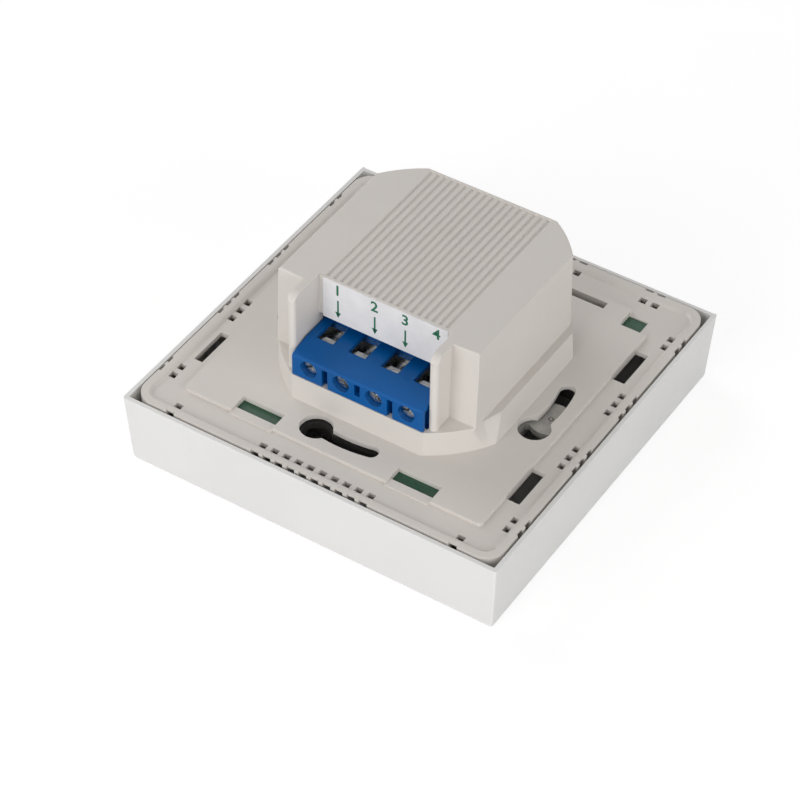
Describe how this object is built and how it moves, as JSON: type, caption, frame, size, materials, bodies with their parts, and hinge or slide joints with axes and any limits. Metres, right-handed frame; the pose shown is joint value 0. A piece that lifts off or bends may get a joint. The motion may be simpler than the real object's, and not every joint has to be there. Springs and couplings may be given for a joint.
{
  "type": "microwave motion sensor",
  "caption": "Square flush-mounted microwave motion sensor with a snap-off front cover, a wall-box power housing, screw terminals and setting knobs.",
  "frame": {"origin": "centre of the front cover's face, which the sensor lies on", "axes": "+Z towards the wall side, -Y towards the terminals, X along the terminal row"},
  "size_m": [0.086, 0.086, 0.0415],
  "materials": {
    "grey_plastic": "fine satin moulded, warm light grey",
    "white_plastic": "smooth semi-gloss white",
    "window_plastic": "translucent milky",
    "blue_plastic": "semi-gloss royal blue polyamide",
    "plated_steel": "bright zinc plated",
    "tinned_contact": "tinned brass",
    "label_paper": "white coated label stock with green print",
    "board_green": "green solder resist",
    "black_plastic": "black moulded",
    "relay_blue": "semi-gloss blue case",
    "capacitor_yellow": "yellow film-capacitor case",
    "can_sleeve": "shrink sleeve over an aluminium can",
    "varistor_blue": "dipped epoxy",
    "resistor_body": "lacquered",
    "ferrite": "dark ferrite with enamelled wire",
    "tin_can": "tin plated sheet",
    "copper": "gold-plated copper",
    "clear_lens": "water-clear epoxy",
    "trimmer_blue": "blue trimmer case",
    "knob_white": "white moulded"
  },
  "bodies": {
    "housing": {"rear_housing": "grey_plastic", "carrier_frame": "grey_plastic", "sensor_board": "board_green", "power_board": "board_green", "terminal_block_body": "blue_plastic", "terminal_contacts": "tinned_contact", "terminal_label": "label_paper", "carrier_screws": "plated_steel", "power_board_screws": "plated_steel", "relay": "relay_blue", "suppression_capacitor": "capacitor_yellow", "bulk_capacitor": "can_sleeve", "output_capacitor": "can_sleeve", "buck_inductor": "ferrite", "varistor": "varistor_blue", "fuse_resistor": "resistor_body", "rectifier": "black_plastic", "power_chip": "black_plastic", "controller_chip": "black_plastic", "board_header": "black_plastic", "module_header": "black_plastic", "module_board": "board_green", "module_screen": "tin_can", "antenna_patch": "copper", "light_sensor": "clear_lens", "status_lamp": "clear_lens", "sensitivity_adjuster": "trimmer_blue", "time_adjuster": "trimmer_blue", "daylight_adjuster": "trimmer_blue"},
    "cover": {"front_cover": "white_plastic", "light_window": "window_plastic"},
    "sensitivity_knob": {"sensitivity_knob": "knob_white"},
    "time_knob": {"time_knob": "knob_white"},
    "daylight_knob": {"daylight_knob": "knob_white"},
    "terminal_screw_1": {"terminal_screw_1": "plated_steel"},
    "clamp_cage_1": {"clamp_cage_1": "plated_steel"},
    "terminal_screw_2": {"terminal_screw_2": "plated_steel"},
    "clamp_cage_2": {"clamp_cage_2": "plated_steel"},
    "terminal_screw_3": {"terminal_screw_3": "plated_steel"},
    "clamp_cage_3": {"clamp_cage_3": "plated_steel"},
    "terminal_screw_4": {"terminal_screw_4": "plated_steel"},
    "clamp_cage_4": {"clamp_cage_4": "plated_steel"}
  },
  "joints": [
    {"name": "cover_release", "type": "slide", "parent": "housing", "child": "cover", "axis": [0, 0, -1], "range_m": [0, 0.03]},
    {"name": "sensitivity_turn", "type": "hinge", "parent": "housing", "child": "sensitivity_knob", "pos_m": [-0.0125, 0.0175, 0.0095], "axis": [0, 0, -1], "range_deg": [-135, 135]},
    {"name": "time_turn", "type": "hinge", "parent": "housing", "child": "time_knob", "pos_m": [0, 0.0175, 0.0095], "axis": [0, 0, -1], "range_deg": [-135, 135]},
    {"name": "daylight_turn", "type": "hinge", "parent": "housing", "child": "daylight_knob", "pos_m": [0.0125, 0.0175, 0.0095], "axis": [0, 0, -1], "range_deg": [-135, 135]},
    {"name": "terminal_1_turn", "type": "hinge", "parent": "housing", "child": "terminal_screw_1", "pos_m": [-0.01125, -0.0224, 0.02595], "axis": [0, 1, 0], "range_deg": [0, 2017]},
    {"name": "clamp_1_travel", "type": "slide", "parent": "housing", "child": "clamp_cage_1", "axis": [0, -1, 0], "range_m": [0, 0.0028]},
    {"name": "terminal_2_turn", "type": "hinge", "parent": "housing", "child": "terminal_screw_2", "pos_m": [-0.00375, -0.0224, 0.02595], "axis": [0, 1, 0], "range_deg": [0, 2017]},
    {"name": "clamp_2_travel", "type": "slide", "parent": "housing", "child": "clamp_cage_2", "axis": [0, -1, 0], "range_m": [0, 0.0028]},
    {"name": "terminal_3_turn", "type": "hinge", "parent": "housing", "child": "terminal_screw_3", "pos_m": [0.00375, -0.0224, 0.02595], "axis": [0, 1, 0], "range_deg": [0, 2017]},
    {"name": "clamp_3_travel", "type": "slide", "parent": "housing", "child": "clamp_cage_3", "axis": [0, -1, 0], "range_m": [0, 0.0028]},
    {"name": "terminal_4_turn", "type": "hinge", "parent": "housing", "child": "terminal_screw_4", "pos_m": [0.01125, -0.0224, 0.02595], "axis": [0, 1, 0], "range_deg": [0, 2017]},
    {"name": "clamp_4_travel", "type": "slide", "parent": "housing", "child": "clamp_cage_4", "axis": [0, -1, 0], "range_m": [0, 0.0028]}
  ],
  "couplings": [
    {"joint": "terminal_1_turn", "follows": "clamp_1_travel", "rad_per_m": 12566},
    {"joint": "terminal_2_turn", "follows": "clamp_2_travel", "rad_per_m": 12566},
    {"joint": "terminal_3_turn", "follows": "clamp_3_travel", "rad_per_m": 12566},
    {"joint": "terminal_4_turn", "follows": "clamp_4_travel", "rad_per_m": 12566}
  ]
}
